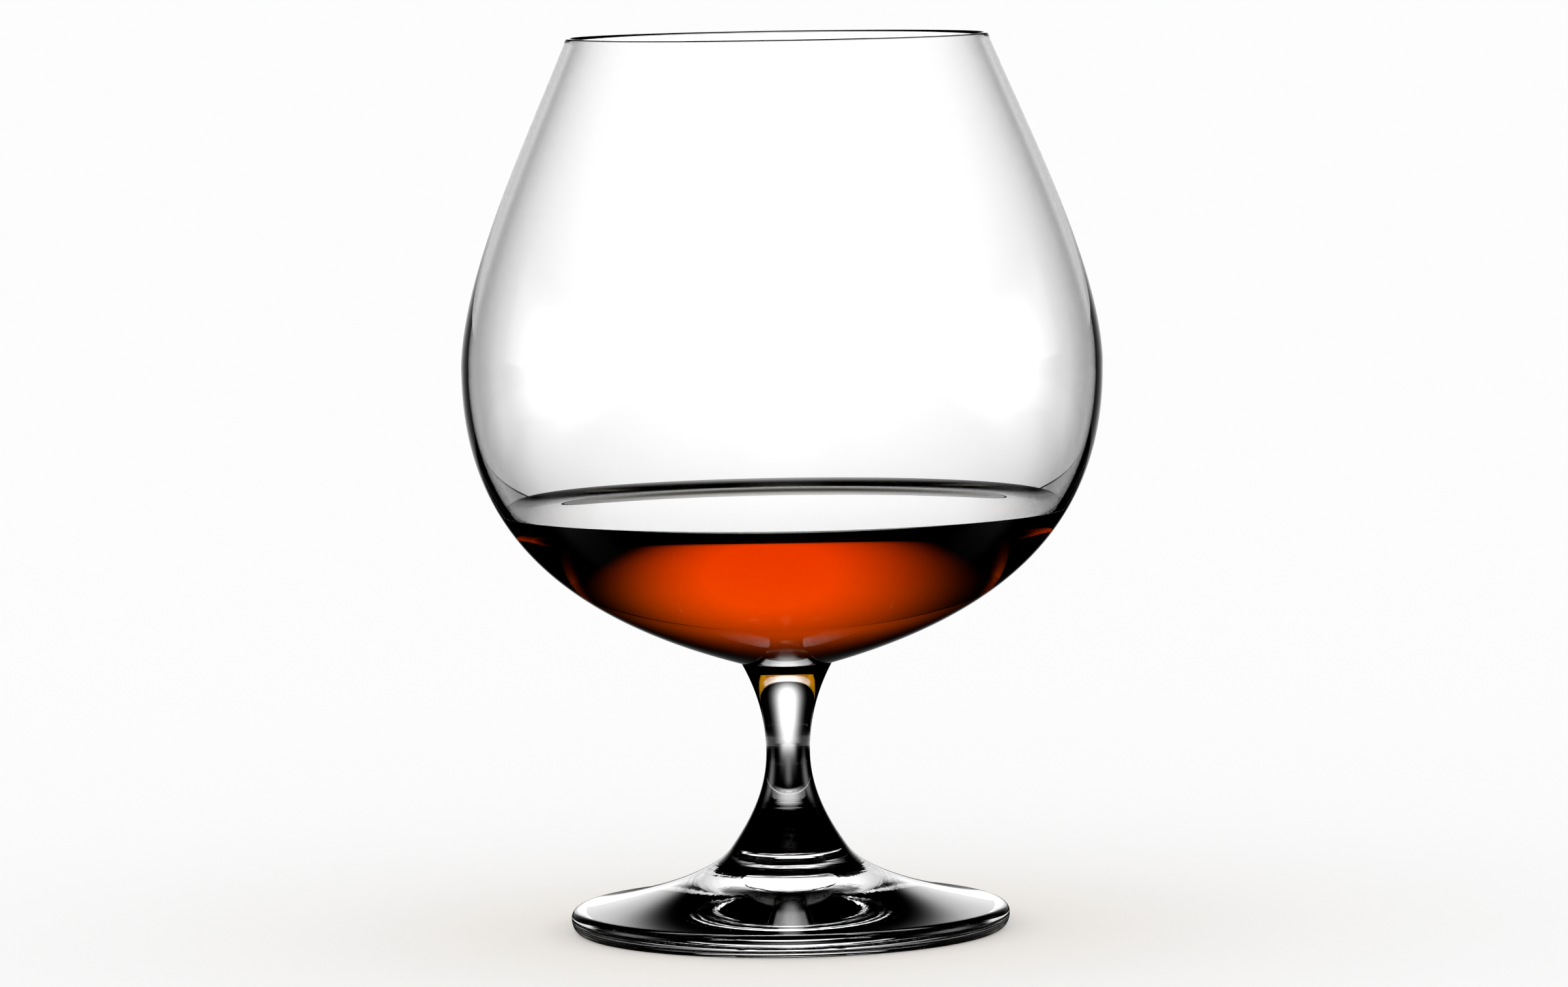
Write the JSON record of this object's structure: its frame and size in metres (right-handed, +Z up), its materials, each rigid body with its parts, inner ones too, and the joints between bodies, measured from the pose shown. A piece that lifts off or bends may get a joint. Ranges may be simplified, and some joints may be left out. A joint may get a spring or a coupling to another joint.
{
  "type": "brandy snifter",
  "caption": "Large clear brandy snifter: a wide bowl narrowing to the mouth, a short waisted stem and a round foot, holding a pour of brandy.",
  "frame": {"origin": "on the table, under the middle of the foot", "axes": "+Z up along the glass's axis; +X and +Y are level and alike, because the glass is round; -Y is the side the picture shows"},
  "size_m": [0.111, 0.111, 0.155],
  "materials": {
    "clear_glass": "clear, fire-polished, smooth",
    "brandy": "clear red-amber liquid with a still, level surface"
  },
  "bodies": {
    "root": {"bowl": "clear_glass", "stem": "clear_glass", "foot": "clear_glass", "brandy": "brandy"}
  },
  "joints": []
}
